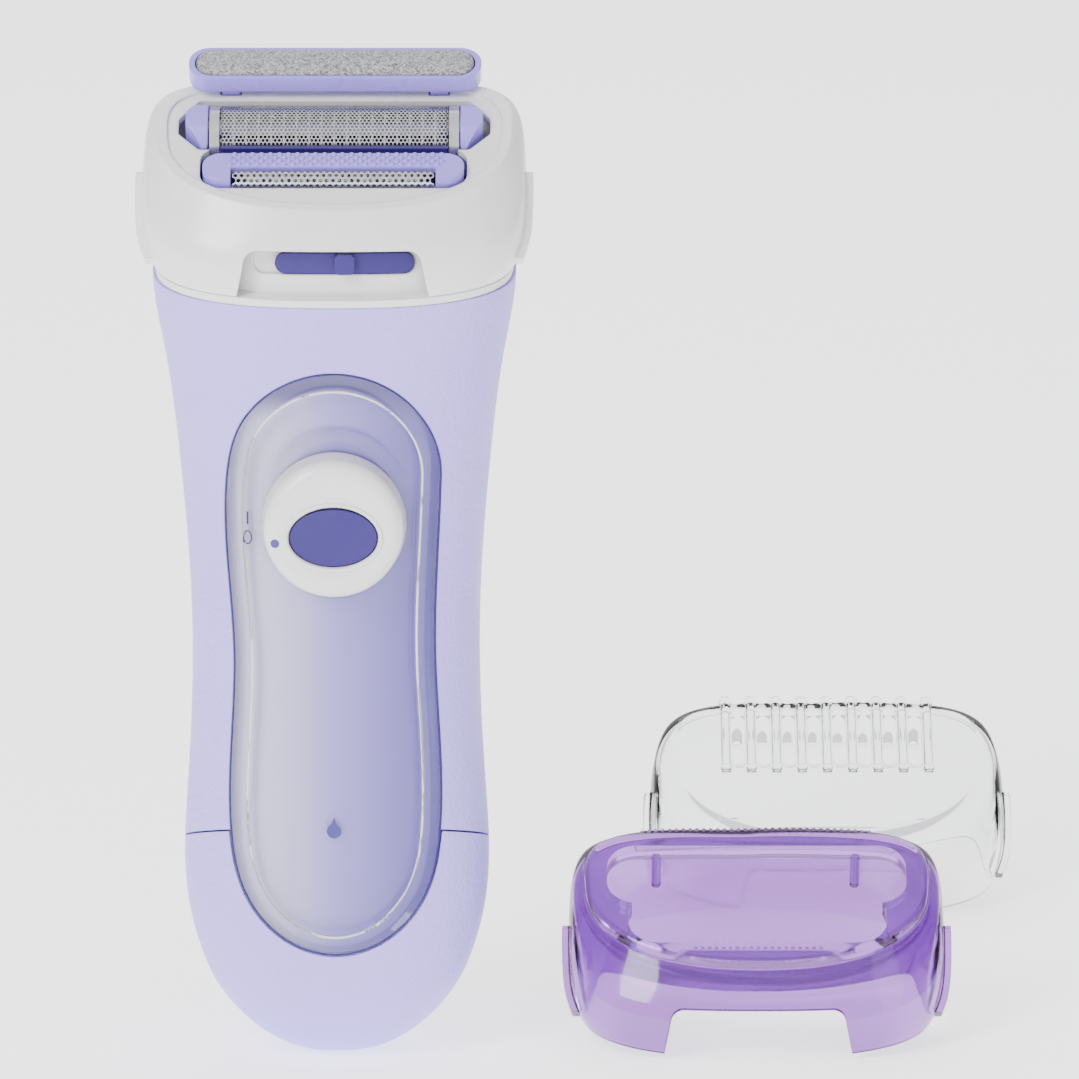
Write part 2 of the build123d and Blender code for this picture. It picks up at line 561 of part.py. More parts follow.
# the gliding cap carries a thick rounded ring around an opening of two joined lobes
ring_outline = face_oval(FACE[0] - 0.3, FACE[1] - 0.4, FACE[2] - 0.3)
ring = head * Pos(0, FACE_V, -1.6) * extrude(ring_outline, 1.6 + RING_RISE)
ring_edge = ring.edges().sort_by(Axis(head.origin, head.z_dir))[-1]
ring = fillet(ring_edge, RING_RISE - 0.05)
glide = cap_blank + ring
glide -= slab(24.9, 6.8, -8, 12, 5.0, v=6.3)
glide -= slab(21.4, 6.0, -8, 12, 5.0, v=-3.9)
for side in (-1, 1):
    glide += head * rod(side * 16.6, 13.6, -8.0, -0.5, 0.8)
parts["gliding_cap"] = stand(glide, SPARE_GLIDE)

comb_cap = cap_shell(COMB_FACE_W, COMB_SHOULDER_W)
slot_v = 9.5
for i in range(COMB_SLOTS):
    x = (i - (COMB_SLOTS - 1) / 2) * COMB_SLOT_PITCH
    comb_cap -= Pos(x, 0, 0) * slab(1.15, 7.0, -8, 12, 1.1, v=slot_v)
for i in range(COMB_SLOTS + 1):
    x = (i - COMB_SLOTS / 2) * COMB_SLOT_PITCH
    comb_cap += head * Pos(x, slot_v, 0) * Rot(90, 0, 0) * Cylinder(0.8, 18)
    comb_cap += head * Pos(x, slot_v + 9, 0) * Sphere(1.15)
parts["trimming_cap"] = stand(comb_cap, SPARE_COMB)

# ---------------------------------------------------------------- switch
knob_outline = Pos(0, KNOB_Z) * Circle(KNOB_R)
knob_disc = front_prism(knob_outline, KNOB_FLOOR_Y - 0.3, KNOB_FRONT_Y, taper=KNOB_DRAFT)
front_edge = knob_disc.edges().filter_by(GeomType.CIRCLE).sort_by(Axis.Y)[0]
knob = fillet(front_edge, KNOB_EDGE_R)
knob -= Pos(0, KNOB_FRONT_Y + KNOB_DISH - KNOB_DISH_R, KNOB_Z) * Sphere(KNOB_DISH_R)
lock_well = Pos(0, LOCK_Z) * Ellipse(LOCK_HALF_W + FREE, LOCK_HALF_H + FREE)
knob -= front_prism(lock_well, LOCK_WELL_Y, -40)
knob += front_prism(Pos(0, KNOB_Z) * Circle(KNOB_STEM_R), -8.6, -14.5)
parts["switch_knob"] = knob
lock = front_prism(Pos(0, LOCK_Z) * Ellipse(LOCK_HALF_W, LOCK_HALF_H), LOCK_BACK_Y, KNOB_FRONT_Y + 0.2)
parts["lock_button"] = lock
lock_spring = coil(0, 0, 0, 1.15, 2.0, 0.35, 1.6)
parts["lock_spring"] = Pos(0, LOCK_WELL_Y - 0.06, LOCK_Z) * Rot(90, 0, 0) * lock_spring
slider = front_prism(Pos(0, KNOB_Z) * RectangleRounded(16, 12, 2), -9.0, -10.2)
parts["switch_slider"] = slider - front_prism(Pos(0, KNOB_Z) * Circle(KNOB_STEM_R + 0.05), -8, -11)

for name, shape in parts.items():
    bb = shape.bounding_box()
    print(f"{name:20s} {shape.volume:9.1f} {shape.is_valid} solids {len(shape.solids())}"
          f" x {bb.min.X:.1f}..{bb.max.X:.1f} y {bb.min.Y:.1f}..{bb.max.Y:.1f} z {bb.min.Z:.1f}..{bb.max.Z:.1f}")
os.makedirs("parts", exist_ok=True)
for name, shape in parts.items():
    export_step(shape, f"parts/{name}.step")
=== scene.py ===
# %% [markdown]
# A battery foil shaver for legs, with an exfoliation cap on its head and two spare caps beside it.
# The solids come from the imported frame, already in place and in metres, so the first step is to load
# them.

# %% Load the frame
import math
import bpy
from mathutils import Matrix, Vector
from mathutils.bvhtree import BVHTree


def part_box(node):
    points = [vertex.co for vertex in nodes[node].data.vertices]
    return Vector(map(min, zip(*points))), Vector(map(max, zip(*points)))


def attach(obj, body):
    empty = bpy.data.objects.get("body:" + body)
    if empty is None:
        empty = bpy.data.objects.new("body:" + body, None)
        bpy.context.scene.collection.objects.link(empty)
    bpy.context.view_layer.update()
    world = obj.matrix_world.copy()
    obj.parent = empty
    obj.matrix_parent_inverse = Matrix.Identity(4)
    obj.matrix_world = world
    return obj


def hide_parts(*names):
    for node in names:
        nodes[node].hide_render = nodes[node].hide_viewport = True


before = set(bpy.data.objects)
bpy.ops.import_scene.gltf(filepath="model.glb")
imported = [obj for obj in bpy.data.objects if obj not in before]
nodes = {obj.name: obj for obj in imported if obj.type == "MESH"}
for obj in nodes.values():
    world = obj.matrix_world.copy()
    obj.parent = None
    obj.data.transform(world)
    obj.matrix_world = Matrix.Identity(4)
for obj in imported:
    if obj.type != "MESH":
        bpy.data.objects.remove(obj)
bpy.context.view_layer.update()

MM = 0.001

# %% [markdown]
# The shaving head leans forward on the handle. Almost everything on it is easier to place in its own
# slanted frame: x across, v up the slope of the shaving face, n straight out of the face. One helper
# turns those three numbers, in millimetres, into a point of the scene.

# %% The slanted frame of the shaving head
LEAN = math.radians(30)
UP_FACE = Vector((0, math.cos(LEAN), math.sin(LEAN)))
OUT_FACE = Vector((0, -math.sin(LEAN), math.cos(LEAN)))
FACE_ORIGIN = Vector((0, -2.5, 151.0)) * MM


def face_point(x, v, n):
    """Point x across, v up and n out of the shaving face, all in millimetres."""
    return FACE_ORIGIN + MM * (Vector((x, 0, 0)) + v * UP_FACE + n * OUT_FACE)


def surface_of(name):
    """Search tree of a solid's faces, in scene coordinates."""
    mesh = nodes[name].data
    corners = [nodes[name].matrix_world @ v.co for v in mesh.vertices]
    return BVHTree.FromPolygons(corners, [tuple(p.vertices) for p in mesh.polygons])


print("middle of the shaving face", tuple(round(c, 4) for c in face_point(0, 0, 0)))

# %% [markdown]
# Moulded plastic is never one flat colour. A base shader with a little noise in the colour and a
# little in the surface normal gives each moulding its own skin. Coarse noise breaks the highlight
# up as real mould texture does, and the bevel node rounds the edges that a mould can't make sharp.

# %% Shader helpers
def shader_of(material):
    return material.node_tree.nodes["Principled BSDF"]


def new_finish(name, colour, roughness, **sockets):
    """Principled material with its constant values set on the shader's own sockets."""
    material = bpy.data.materials.new(name)
    material.use_nodes = True
    shader = shader_of(material)
    shader.inputs["Base Color"].default_value = (*colour, 1)
    shader.inputs["Roughness"].default_value = roughness
    for socket, value in sockets.items():
        shader.inputs[socket.replace("_", " ")].default_value = value
    return material


def add_node(material, kind, **values):
    """Adds a node and sets its properties or input sockets by name."""
    node = material.node_tree.nodes.new(kind)
    for key, value in values.items():
        if key in node.inputs:
            node.inputs[key].default_value = value
        else:
            setattr(node, key, value)
    return node


def join(material, source, target):
    material.node_tree.links.new(source, target)


def object_space(material):
    """Coordinates fixed to the piece, in metres."""
    if "Place" in material.node_tree.nodes:
        return material.node_tree.nodes["Place"].outputs["Object"]
    place = add_node(material, "ShaderNodeTexCoord")
    place.name = "Place"
    return place.outputs["Object"]


def add_skin(material, scale, depth, soft_edge=0.0):
    """Fine relief of the given depth in metres, over edges rounded by soft_edge."""
    shader = shader_of(material)
    noise = add_node(material, "ShaderNodeTexNoise", Scale=scale, Detail=3.0)
    join(material, object_space(material), noise.inputs["Vector"])
    bump = add_node(material, "ShaderNodeBump", Strength=1.0, Distance=depth)
    join(material, noise.outputs["Fac"], bump.inputs["Height"])
    if soft_edge > 0:
        bevel = add_node(material, "ShaderNodeBevel", samples=6, Radius=soft_edge)
        join(material, bevel.outputs["Normal"], bump.inputs["Normal"])
    join(material, bump.outputs["Normal"], shader.inputs["Normal"])
    return bump


def add_mottle(material, dark, light, scale, contrast=0.35):
    """Slow drift between two near colours, as in real pigment and handling."""
    shader = shader_of(material)
    noise = add_node(material, "ShaderNodeTexNoise", Scale=scale, Detail=4.0)
    join(material, object_space(material), noise.inputs["Vector"])
    ramp = add_node(material, "ShaderNodeValToRGB")
    ramp.color_ramp.elements[0].position = 0.5 - contrast
    ramp.color_ramp.elements[1].position = 0.5 + contrast
    ramp.color_ramp.elements[0].color = (*dark, 1)
    ramp.color_ramp.elements[1].color = (*light, 1)
    join(material, noise.outputs["Fac"], ramp.inputs["Fac"])
    join(material, ramp.outputs["Color"], shader.inputs["Base Color"])


def add_wear(material, low, high, scale):
    """Uneven gloss: roughness drifts from low to high."""
    shader = shader_of(material)
    noise = add_node(material, "ShaderNodeTexNoise", Scale=scale, Detail=5.0)
    join(material, object_space(material), noise.inputs["Vector"])
    spread = add_node(material, "ShaderNodeMapRange")
    spread.inputs["From Min"].default_value = 0.3
    spread.inputs["From Max"].default_value = 0.7
    spread.inputs["To Min"].default_value = low
    spread.inputs["To Max"].default_value = high
    join(material, noise.outputs["Fac"], spread.inputs["Value"])
    join(material, spread.outputs["Result"], shader.inputs["Roughness"])


print("shader helpers ready")

# %% [markdown]
# The handle is lavender plastic with a fine leather grain, so it isn't slippery when wet. Leather is
# a net of small rounded cells, which a smooth cell texture gives; a finer noise on top keeps the
# cells from looking printed. The finish is satin: a broad, soft highlight.

# %% Lavender handle skin
GRAIN_SCALE = 1500.0
handle_skin = new_finish("lavender_leather_grain", (0.44, 0.36, 0.92), 0.42, Specular_IOR_Level=0.45)
add_mottle(handle_skin, (0.425, 0.345, 0.91), (0.455, 0.375, 0.935), 60)
add_wear(handle_skin, 0.38, 0.5, 140)
cells = add_node(handle_skin, "ShaderNodeTexVoronoi", Scale=GRAIN_SCALE, feature="SMOOTH_F1",
                 Smoothness=0.8)
join(handle_skin, object_space(handle_skin), cells.inputs["Vector"])
fine = add_skin(handle_skin, 2600, 0.00001, 0.00025)
grain = add_node(handle_skin, "ShaderNodeBump", Strength=0.8, Distance=0.00014)
join(handle_skin, cells.outputs["Distance"], grain.inputs["Height"])
join(handle_skin, fine.outputs["Normal"], grain.inputs["Normal"])
join(handle_skin, grain.outputs["Normal"], shader_of(handle_skin).inputs["Normal"])
print("grain cells about", round(1000 / GRAIN_SCALE, 2), "mm across")

# %% [markdown]
# The other mouldings are smooth. White for the collar, the caps and the knob; a deeper lavender for
# the trimmer, the foil's ends and the pad's tray; dark purple for what the thumb looks for.

# %% White, lavender and purple mouldings
white = new_finish("white_moulding", (0.76, 0.76, 0.765), 0.26, Coat_Weight=0.25, Coat_Roughness=0.12)
add_mottle(white, (0.75, 0.75, 0.757), (0.785, 0.785, 0.787), 45)
add_skin(white, 900, 0.000004, 0.0005)
add_wear(white, 0.22, 0.32, 90)

lilac = new_finish("lilac_gloss", (0.31, 0.235, 0.8), 0.25, Coat_Weight=0.3, Coat_Roughness=0.1)
add_mottle(lilac, (0.295, 0.22, 0.78), (0.335, 0.255, 0.82), 70)
add_skin(lilac, 1100, 0.000004, 0.0004)
add_wear(lilac, 0.2, 0.32, 120)

purple = new_finish("dark_purple_satin", (0.034, 0.02, 0.155), 0.34, Specular_IOR_Level=0.3)
add_mottle(purple, (0.03, 0.017, 0.145), (0.04, 0.024, 0.17), 80)
add_skin(purple, 1600, 0.000008, 0.0003)
add_wear(purple, 0.32, 0.45, 150)

inner = new_finish("inner_moulding", (0.3, 0.3, 0.33), 0.5)
add_mottle(inner, (0.27, 0.27, 0.3), (0.33, 0.33, 0.36), 90)
add_skin(inner, 1200, 0.00001, 0.0002)

rubber = new_finish("seal_rubber", (0.035, 0.035, 0.038), 0.7)
add_mottle(rubber, (0.03, 0.03, 0.033), (0.045, 0.045, 0.048), 120)
add_skin(rubber, 2000, 0.00001)
print("mouldings:", white.name, lilac.name, purple.name, inner.name, rubber.name)

# %% [markdown]
# The metals differ in how they were worked. The foil is electroformed and bright, the blades are
# ground in one direction, and the motor can and contacts are plated sheet. Grinding lines come from
# noise that is stretched a long way in one direction.

# %% Steels
def ground_metal(name, colour, roughness, stretch, depth):
    """Metal with fine lines: noise stretched by the given scale along each axis."""
    metal = new_finish(name, colour, roughness, Metallic=1.0)
    spread = add_node(metal, "ShaderNodeMapping")
    spread.inputs["Scale"].default_value = stretch
    join(metal, object_space(metal), spread.inputs["Vector"])
    lines = add_node(metal, "ShaderNodeTexNoise", Scale=1.0, Detail=6.0)
    join(metal, spread.outputs["Vector"], lines.inputs["Vector"])
    bump = add_node(metal, "ShaderNodeBump", Strength=0.6, Distance=depth)
    join(metal, lines.outputs["Fac"], bump.inputs["Height"])
    join(metal, bump.outputs["Normal"], shader_of(metal).inputs["Normal"])
    add_wear(metal, roughness * 0.75, roughness * 1.35, 400)
    return metal


foil_steel = ground_metal("foil_steel", (0.56, 0.56, 0.58), 0.24, (300, 6000, 6000), 0.000008)
blade_steel = ground_metal("ground_steel", (0.54, 0.54, 0.56), 0.26, (200, 9000, 9000), 0.00001)
plated = ground_metal("plated_sheet", (0.72, 0.71, 0.68), 0.32, (3000, 3000, 300), 0.000006)
print("metals:", foil_steel.name, blade_steel.name, plated.name)

# %% [markdown]
# The window panel and the two spare caps are clear plastic. Light has to pass through and bend, so
# they are transmissive with the refractive index of acrylic. The purple cap gets its depth of colour
# from a tinted base: seen through a thick edge it darkens.

# %% Clear plastics
def clear_plastic(name, tint, roughness):
    plastic = new_finish(name, tint, roughness, Transmission_Weight=1.0, IOR=1.46)
    add_skin(plastic, 500, 0.000003, 0.0003)
    add_wear(plastic, roughness * 0.6, roughness * 1.6, 200)
    return plastic


panel_clear = clear_plastic("window_clear", (0.97, 0.97, 1.0), 0.03)
shader_of(panel_clear).inputs["Specular IOR Level"].default_value = 0.25
cap_clear = clear_plastic("trimming_cap_clear", (0.97, 0.98, 0.985), 0.03)
cap_purple = clear_plastic("gliding_cap_purple", (0.36, 0.15, 0.56), 0.07)
print("clear plastics:", panel_clear.name, cap_clear.name, cap_purple.name)

# %% [markdown]
# Behind the window the backing is lavender. It fades from nearly white at one side to deep lavender at
# the other:
# the fade is painted light and shade, lighter on the side the light falls on and darker on the far
# side.
# A ramp along x does it. At the top, outside the inner face, a violet crescent is painted shadow, the
# shade on the downward-facing wall at the top of the recess: it shows where the height and the distance
# from the middle of the window's round top are both large.

# %% Backing with painted light and shade
def ramp_between(material, value, low, high):
    """0 below low and 1 above high, smooth between them."""
    spread = add_node(material, "ShaderNodeMapRange", interpolation_type="SMOOTHSTEP")
    spread.inputs["From Min"].default_value = low
    spread.inputs["From Max"].default_value = high
    join(material, value, spread.inputs["Value"])
    return spread.outputs["Result"]


# The crescent at the top of the backing is painted shadow, the shade on the recess's upper wall.
SHADOW_CRESCENT_RIM = (3.4, 2.6)  # mm in from the window's edge, where it starts and where it is full
SHADOW_CRESCENT_DROP = (9, 3)  # mm down from the window's top
window_low, window_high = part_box("window_panel")
half_window = window_high.x
arch_z = window_high.z - half_window
backing = new_finish("backing_painted_shade", (0.6, 0.57, 0.85), 0.35)
split = add_node(backing, "ShaderNodeSeparateXYZ")
join(backing, object_space(backing), split.inputs["Vector"])
# Painted light and shade: the ramp runs from a pale, lit lavender at the left to a deep, shaded
# lavender at the right.
painted_light_ramp = add_node(backing, "ShaderNodeValToRGB")
painted_light_ramp.color_ramp.elements[0].position = 0.1
painted_light_ramp.color_ramp.elements[0].color = (0.76, 0.72, 1.0, 1)
painted_light_ramp.color_ramp.elements[1].position = 0.9
painted_light_ramp.color_ramp.elements[1].color = (0.19, 0.125, 0.68, 1)
middle = painted_light_ramp.color_ramp.elements.new(0.5)
middle.color = (0.4, 0.315, 0.92, 1)
join(backing, ramp_between(backing, split.outputs["X"], -half_window, half_window), painted_light_ramp.inputs["Fac"])
flat = add_node(backing, "ShaderNodeCombineXYZ", Y=0.0, Z=0.0)
join(backing, split.outputs["X"], flat.inputs["X"])
above_arch = add_node(backing, "ShaderNodeMath", operation="SUBTRACT")
above_arch.inputs[1].default_value = arch_z
join(backing, split.outputs["Z"], above_arch.inputs[0])
join(backing, above_arch.outputs["Value"], flat.inputs["Z"])
radius = add_node(backing, "ShaderNodeVectorMath", operation="LENGTH")
join(backing, flat.outputs["Vector"], radius.inputs[0])
outside = ramp_between(backing, radius.outputs["Value"],
                       half_window - SHADOW_CRESCENT_RIM[0] * MM, half_window - SHADOW_CRESCENT_RIM[1] * MM)
high_up = ramp_between(backing, split.outputs["Z"],
                       window_high.z - SHADOW_CRESCENT_DROP[0] * MM, window_high.z - SHADOW_CRESCENT_DROP[1] * MM)
painted_shadow_crescent = add_node(backing, "ShaderNodeMath", operation="MULTIPLY")
join(backing, outside, painted_shadow_crescent.inputs[0])
join(backing, high_up, painted_shadow_crescent.inputs[1])
colour = add_node(backing, "ShaderNodeMix", data_type="RGBA")
join(backing, painted_shadow_crescent.outputs["Value"], colour.inputs["Factor"])
join(backing, painted_light_ramp.outputs["Color"], colour.inputs[6])
# Painted shadow: deep violet where the crescent mask is full.
colour.inputs[7].default_value = (0.07, 0.035, 0.34, 1)
join(backing, colour.outputs[2], shader_of(backing).inputs["Base Color"])
add_skin(backing, 1500, 0.000006)
print("backing fades over", round(2 * half_window * 1000, 1), "mm")

# %% [markdown]
# The inside has wrapped cells and a green board. They show when the battery cap is pulled off, so
# they get real finishes too.

# %% Cells and board
cell_wrap = new_finish("cell_sleeve", (0.08, 0.09, 0.12), 0.3)
add_mottle(cell_wrap, (0.07, 0.08, 0.11), (0.1, 0.11, 0.14), 150)
add_skin(cell_wrap, 700, 0.000006, 0.0003)
board_green = new_finish("board_green", (0.02, 0.12, 0.06), 0.35)
add_mottle(board_green, (0.015, 0.1, 0.05), (0.03, 0.14, 0.07), 300)
add_skin(board_green, 2500, 0.00001)
print("inner finishes:", cell_wrap.name, board_green.name)

# %% [markdown]
# Each solid of the frame takes one finish. The list is short because it goes by finish, not by piece.

# %% Give every solid its finish
FINISH = {
    handle_skin: ["front_shell", "rear_shell", "battery_cap"],
    white: ["head_collar", "exfoliation_cap", "switch_knob", "drive_crank", "swing_bridge",
            "flexure_left", "flexure_right", "cutter_yoke"],
    lilac: ["foil_frame", "trimmer_housing", "pad_holder"],
    purple: ["lock_button", "trimmer_selector", "hair_tray"],
    inner: ["chassis", "bridge_frame", "motor_end_cap", "contact_carrier", "cutter_carrier",
            "switch_slider", "board_chips"],
    blade_steel: ["housing_screws", "motor_shaft", "drive_pin", "foil_band_left", "foil_band_right",
                  "cutter_blades", "trimmer_blade", "trimmer_comb"],
    foil_steel: ["foil"],
    plated: ["motor_can", "board_capacitor", "cap_contact_plate", "cap_contact_spring",
             "cap_contact_stud", "top_contact_left", "top_contact_right", "top_contact_spring",
             "cutter_spring", "lock_spring"],
    panel_clear: ["window_panel"],
    backing: ["window_backing"],
    cap_clear: ["trimming_cap"],
    cap_purple: ["gliding_cap"],
    cell_wrap: ["cell_left", "cell_right"],
    board_green: ["circuit_board"],
    rubber: ["drive_seal", "exfoliation_pad"],
}
for finish, names in FINISH.items():
    for name in names:
        nodes[name].data.materials.clear()
        nodes[name].data.materials.append(finish)
print("finished", sum(len(names) for names in FINISH.values()), "solids")

# %% [markdown]
# New pieces are built from points and faces. This helper makes the object, gives it a finish and lets
# it ride on its body.

# %% Piece helper
def make_piece(name, points, faces, finish, body, smooth=True):
    mesh = bpy.data.meshes.new(name)
    mesh.from_pydata([tuple(p) for p in points], [], faces)
    mesh.polygons.foreach_set("use_smooth", [smooth] * len(mesh.polygons))
    mesh.materials.append(finish)
    mesh.update()
    piece = bpy.data.objects.new(name, mesh)
    bpy.context.scene.collection.objects.link(piece)
    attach(piece, body)
    return piece


print("piece helper ready")

# %% [markdown]
# The foil is a steel sheet about 0.1 mm thick, arched over the cutter and full of small six-sided
# holes. Bending a flat net of hexagon rings over the arch gives real holes: each cell shares its
# outer corners with its neighbours, and a smaller hexagon is left open inside. A solidify modifier
# then gives the sheet its thickness.

# %% Hexagon net
def hexagon_net(columns, rows, pitch, open_share, place):
    """Net of hexagon rings; place(x, s) puts a flat point, in millimetres, onto the real surface."""
    points, faces, shared = [], [], {}
    row_step = pitch * math.sqrt(3) / 2
    corner = pitch / math.sqrt(3)

    def outer_point(x, s):
        key = (round(x, 3), round(s, 3))
        if key not in shared:
            shared[key] = len(points)
            points.append(place(x, s))
        return shared[key]

    for row in range(rows):
        s = (row - (rows - 1) / 2) * row_step
        for column in range(columns - row % 2):
            x = (column - (columns - 1 - row % 2) / 2) * pitch
            rim, hole = [], []
            for k in range(6):
                angle = math.pi / 6 + k * math.pi / 3
                dx, ds = corner * math.cos(angle), corner * math.sin(angle)
                rim.append(outer_point(x + dx, s + ds))
                hole.append(len(points))
                points.append(place(x + dx * open_share, s + ds * open_share))
            for k in range(6):
                after = (k + 1) % 6
                faces.append((rim[k], rim[after], hole[after], hole[k]))
    return points, faces


def over_arch(radius, centre_v, centre_n):
    """Wraps s round an arch of that radius, with straight legs past its ends."""
    quarter = radius * math.pi / 2

    def place(x, s):
        if abs(s) <= quarter:
            angle = s / radius
            rise = radius * math.cos(angle)
            return face_point(x, centre_v + radius * math.sin(angle), centre_n + rise)
        side = math.copysign(1, s)
        return face_point(x, centre_v + side * radius, centre_n - (abs(s) - quarter))

    return place


FOIL_ARCH = (5.78, 7.2, -4.0)  # radius, centre v, centre n
FOIL_PITCH, FOIL_ROWS, FOIL_OPEN, FOIL_THICK = 0.66, 38, 0.74, 0.11
columns = int(2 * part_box("foil")[1].x * 1000 / FOIL_PITCH)
points, faces = hexagon_net(columns, FOIL_ROWS, FOIL_PITCH, FOIL_OPEN, over_arch(*FOIL_ARCH))
foil_net = make_piece("foil_net", points, faces, foil_steel, "foil_head", smooth=False)
sheet = foil_net.modifiers.new("sheet thickness", "SOLIDIFY")
sheet.thickness = FOIL_THICK * MM
sheet.offset = -1
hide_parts("foil")
print("foil net", columns, "by", FOIL_ROWS, "holes,", len(faces), "faces")

# %% [markdown]
# The trimmer comb is the same net, coarser: a narrow steel strip bent over the front edge of the
# trimmer, with a few rows of wide openings.

# %% Trimmer comb
COMB_ARCH = (1.6, -6.75, -0.68)  # radius, centre v, centre n
COMB_PITCH, COMB_ROWS, COMB_OPEN, COMB_THICK = 1.02, 6, 0.62, 0.25
columns = int(2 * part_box("trimmer_comb")[1].x * 1000 / COMB_PITCH)
points, faces = hexagon_net(columns, COMB_ROWS, COMB_PITCH, COMB_OPEN, over_arch(*COMB_ARCH))
comb_net = make_piece("trimmer_comb_net", points, faces, blade_steel, "trimmer",
                      smooth=False)
strip = comb_net.modifiers.new("strip thickness", "SOLIDIFY")
strip.thickness = COMB_THICK * MM
strip.offset = -1
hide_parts("trimmer_comb")
print("comb strip", len(faces), "faces")

# %% [markdown]
# Rows of small round nubs lift the skin ahead of the trimmer. Each is a low dome. One helper makes a
# dome as rings of points, and a loop sets them out in staggered rows.

# %% Domes
def dome(centre, along, radius, height, rings=4, sides=12):
    """Points and faces of a low dome standing on centre and pointing along."""
    along = along.normalized()
    side = along.orthogonal().normalized()
    other = along.cross(side)
    points = []
    for ring in range(rings):
        angle = math.pi / 2 * ring / rings
        r, h = radius * math.cos(angle), height * math.sin(angle)
        for k in range(sides):
            turn = 2 * math.pi * k / sides
            points.append(centre + along * h + (side * math.cos(turn) + other * math.sin(turn)) * r)
    points.append(centre + along * height)
    faces = []
    for ring in range(rings - 1):
        for k in range(sides):
            a, b = ring * sides + k, ring * sides + (k + 1) % sides
            faces.append((a, b, b + sides, a + sides))
    top = len(points) - 1
    last = (rings - 1) * sides
    faces += [(last + k, last + (k + 1) % sides, top) for k in range(sides)]
    return points, faces


def gather(shapes):
    """Joins several (points, faces) into one."""
    points, faces = [], []
    for p, f in shapes:
        start = len(points)
        points += p
        faces += [tuple(i + start for i in face) for face in f]
    return points, faces


NUB_ROWS, NUBS_A_ROW = 4, 24
NUB_PITCH, NUB_ROW_STEP = 1.46, 0.8
FIRST_NUB_V, NUB_FOOT_N = -4.55, 0.98
NUB_RADIUS, NUB_HEIGHT = 0.55 * MM, 0.36 * MM
nubs = []
for row in range(NUB_ROWS):
    for i in range(NUBS_A_ROW):
        x = (i - (NUBS_A_ROW - 1) / 2) * NUB_PITCH + NUB_PITCH / 2 * (row % 2)
        foot = face_point(x, FIRST_NUB_V + row * NUB_ROW_STEP, NUB_FOOT_N)
        nubs.append(dome(foot, OUT_FACE, NUB_RADIUS, NUB_HEIGHT))
points, faces = gather(nubs)
make_piece("trimmer_nubs", points, faces, lilac, "trimmer")
print("nubs", len(nubs))

# %% [markdown]
# The scrubbing pad is stiff foam with crushed mineral glued on. The mineral is a fine, hard relief.
# A cell texture gives every grain its own grey, and a few of the grains shine like small mirrors.

# %% Grit finish
grit = new_finish("mineral_grit", (0.33, 0.33, 0.35), 0.5)
specks = add_node(grit, "ShaderNodeTexVoronoi", Scale=4200.0)
join(grit, object_space(grit), specks.inputs["Vector"])
tone = add_node(grit, "ShaderNodeValToRGB")
tone.color_ramp.elements[0].position = 0.15
tone.color_ramp.elements[0].color = (0.2, 0.2, 0.215, 1)
tone.color_ramp.elements[1].position = 0.85
tone.color_ramp.elements[1].color = (0.5, 0.5, 0.53, 1)
grey = add_node(grit, "ShaderNodeSeparateColor")
join(grit, specks.outputs["Color"], grey.inputs["Color"])
join(grit, grey.outputs["Red"], tone.inputs["Fac"])
shader = shader_of(grit)
join(grit, tone.outputs["Color"], shader.inputs["Base Color"])
glint = add_node(grit, "ShaderNodeMath", operation="GREATER_THAN")
glint.inputs[1].default_value = 0.86
join(grit, grey.outputs["Green"], glint.inputs[0])
join(grit, glint.outputs["Value"], shader.inputs["Metallic"])
grains = add_node(grit, "ShaderNodeBump", Strength=1.0, Distance=0.00025)
join(grit, specks.outputs["Distance"], grains.inputs["Height"])
join(grit, grains.outputs["Normal"], shader.inputs["Normal"])
print("grit ready")

# %% [markdown]
# The block under the mineral is a cushion. A rounded outline is stacked in a few levels for the
# straight sides and the soft edge, and then drawn in row by row while it rises to a low crown.

# %% Domed pad
def rounded_outline(half_x, half_v, corner, per_corner=8):
    """Outline points (x, v) of a rectangle with rounded corners, anticlockwise."""
    outline = []
    for cx, cv, start in ((1, 1, 0), (-1, 1, 90), (-1, -1, 180), (1, -1, 270)):
        for k in range(per_corner + 1):
            angle = math.radians(start + 90 * k / per_corner)
            outline.append((cx * (half_x - corner) + corner * math.cos(angle),
                            cv * (half_v - corner) + corner * math.sin(angle)))
    return outline


def cushion(outline, centre_v, levels, crown, crown_rows=9):
    """Closed body of stacked outlines, levels of (n, inset), crowned by that much over the top."""
    points, faces = [], []
    reach = max(x for x, v in outline)
    depth = max(v for x, v in outline)
    count = len(outline)

    def add_ring(n, share_x, share_v):
        for x, v in outline:
            points.append(face_point(x * share_x, centre_v + v * share_v, n))

    for n, inset in levels:
        add_ring(n, 1 - inset / reach, 1 - inset / depth)
    top_n, top_inset = levels[-1]
    for k in range(1, crown_rows):
        share = 1 - k / crown_rows
        rise = crown * (1 - share ** 2.6)
        add_ring(top_n + rise, (1 - top_inset / reach) * share, (1 - top_inset / depth) * share)
    rings = len(levels) + crown_rows - 1
    for ring in range(rings - 1):
        for k in range(count):
            a, b = ring * count + k, ring * count + (k + 1) % count
            faces.append((a, b, b + count, a + count))
    faces.append(tuple(range(count))[::-1])
    faces.append(tuple(range((rings - 1) * count, rings * count)))
    return points, faces


